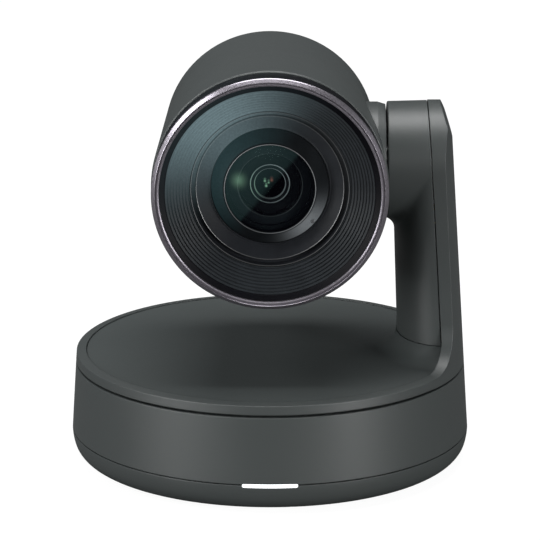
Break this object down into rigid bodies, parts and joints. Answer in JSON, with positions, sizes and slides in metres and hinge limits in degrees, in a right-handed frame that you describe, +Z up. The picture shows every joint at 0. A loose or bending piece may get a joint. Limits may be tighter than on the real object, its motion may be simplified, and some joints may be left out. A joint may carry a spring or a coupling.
{
  "type": "ptz conference camera",
  "caption": "Pan-tilt-zoom camera: round base with a status light, a turning deck with one upright arm, and a cylindrical head with a recessed zoom lens.",
  "frame": {"origin": "centre of the base, on the table it stands on", "axes": "+Z up along the pan axis; the lens looks along -Y at rest; the arm stands at +X"},
  "size_m": [0.1522, 0.1522, 0.1607],
  "materials": {
    "shell_plastic": "fine satin texture",
    "foot_rubber": "matte",
    "light_diffuser": "lit diffuser",
    "circuit_board": "solder mask",
    "plated_steel": "zinc plated",
    "bearing_steel": "ground",
    "screw_steel": "blackened",
    "brass": "turned",
    "cast_aluminium": "cast",
    "motor_can": "drawn",
    "gear_nylon": "moulded",
    "black_plastic": "anti-reflection black",
    "cable_sheath": "soft",
    "trim_metal": "bead blasted, anodised",
    "bezel_gloss": "gloss",
    "retainer_black": "black anodised",
    "lens_glass": "coated",
    "sensor": "sensor window"
  },
  "bodies": {
    "base": {"bottom_cover": "shell_plastic", "foot_ring": "foot_rubber", "base_shell": "shell_plastic", "light_bar": "light_diffuser", "led_board": "circuit_board", "chassis_plate": "plated_steel", "base_screws": "screw_steel", "tripod_insert": "brass", "pan_spindle": "cast_aluminium", "pan_bearing_inner": "bearing_steel", "pan_motor": "motor_can", "main_board": "circuit_board", "port_panel": "plated_steel", "power_jack": "black_plastic", "usb_port": "plated_steel", "video_port": "plated_steel", "base_harness": "cable_sheath"},
    "pan_balls": {"pan_bearing_balls": "bearing_steel"},
    "pan_drive": {"pan_pinion": "brass"},
    "turntable": {"arm_frame": "shell_plastic", "column_cover": "shell_plastic", "deck_panel": "shell_plastic", "turntable_plate": "cast_aluminium", "turntable_screws": "screw_steel", "pan_gear": "gear_nylon", "pan_bearing_outer": "bearing_steel", "arm_flex": "cable_sheath", "tilt_bracket": "plated_steel", "bracket_screws": "screw_steel", "tilt_bearing_outer": "bearing_steel", "tilt_motor": "motor_can"},
    "tilt_balls": {"tilt_bearing_balls": "bearing_steel"},
    "tilt_drive": {"tilt_pinion": "brass"},
    "head": {"barrel_shell": "shell_plastic", "rear_cap": "shell_plastic", "neck_collar": "shell_plastic", "tilt_shaft": "bearing_steel", "tilt_gear": "gear_nylon", "tilt_bearing_inner": "bearing_steel", "front_trim": "trim_metal", "black_bezel": "bezel_gloss", "ribbed_baffle": "black_plastic", "lens_housing": "black_plastic", "head_screws": "screw_steel", "front_retainer": "retainer_black", "front_lens": "lens_glass", "lens_frame": "cast_aluminium", "rear_lens": "lens_glass", "lens_motors": "motor_can", "image_sensor": "sensor", "sensor_board": "circuit_board", "processor_board": "circuit_board", "heat_sink": "cast_aluminium", "head_cable": "cable_sheath"},
    "zoom_carriage": {"zoom_cell": "black_plastic", "zoom_lens": "lens_glass"},
    "zoom_drive": {"zoom_screw": "screw_steel"},
    "focus_carriage": {"focus_cell": "black_plastic", "focus_lens": "lens_glass"},
    "focus_drive": {"focus_screw": "screw_steel"}
  },
  "joints": [
    {"name": "pan", "type": "hinge", "parent": "base", "child": "turntable", "pos_m": [0, 0, 0], "axis": [0, 0, 1], "range_deg": [-90, 90]},
    {"name": "pan_bearing_roll", "type": "hinge", "parent": "base", "child": "pan_balls", "pos_m": [0, 0, 0], "axis": [0, 0, 1], "range_deg": [-60, 60]},
    {"name": "pan_pinion_spin", "type": "hinge", "parent": "base", "child": "pan_drive", "pos_m": [-0.02652, -0.02652, 0.027], "axis": [0, 0, 1], "range_deg": [-361, 361]},
    {"name": "tilt", "type": "hinge", "parent": "turntable", "child": "head", "pos_m": [0, 0, 0.1167], "axis": [-1, 0, 0], "range_deg": [-90, 50]},
    {"name": "tilt_bearing_roll", "type": "hinge", "parent": "turntable", "child": "tilt_balls", "pos_m": [0, 0, 0.1167], "axis": [-1, 0, 0], "range_deg": [-50, 30]},
    {"name": "tilt_pinion_spin", "type": "hinge", "parent": "turntable", "child": "tilt_drive", "pos_m": [0.0606, 0, 0.09607], "axis": [-1, 0, 0], "range_deg": [-201, 361]},
    {"name": "zoom", "type": "slide", "parent": "head", "child": "zoom_carriage", "axis": [0, 1, 0], "range_m": [0, 0.008]},
    {"name": "zoom_screw_spin", "type": "hinge", "parent": "head", "child": "zoom_drive", "pos_m": [0.01516, 0, 0.12545], "axis": [0, 1, 0], "range_deg": [-1, 1441]},
    {"name": "focus", "type": "slide", "parent": "head", "child": "focus_carriage", "axis": [0, 1, 0], "range_m": [0, 0.006]},
    {"name": "focus_screw_spin", "type": "hinge", "parent": "head", "child": "focus_drive", "pos_m": [-0.01516, 0, 0.12545], "axis": [0, 1, 0], "range_deg": [-1, 1081]}
  ],
  "couplings": [
    {"joint": "pan_bearing_roll", "follows": "pan", "ratio": 0.56111},
    {"joint": "pan_pinion_spin", "follows": "pan", "ratio": -4},
    {"joint": "tilt_bearing_roll", "follows": "tilt", "ratio": 0.42727},
    {"joint": "tilt_pinion_spin", "follows": "tilt", "ratio": -4},
    {"joint": "zoom_screw_spin", "follows": "zoom", "rad_per_m": 3141.6},
    {"joint": "focus_screw_spin", "follows": "focus", "rad_per_m": 3141.6}
  ]
}
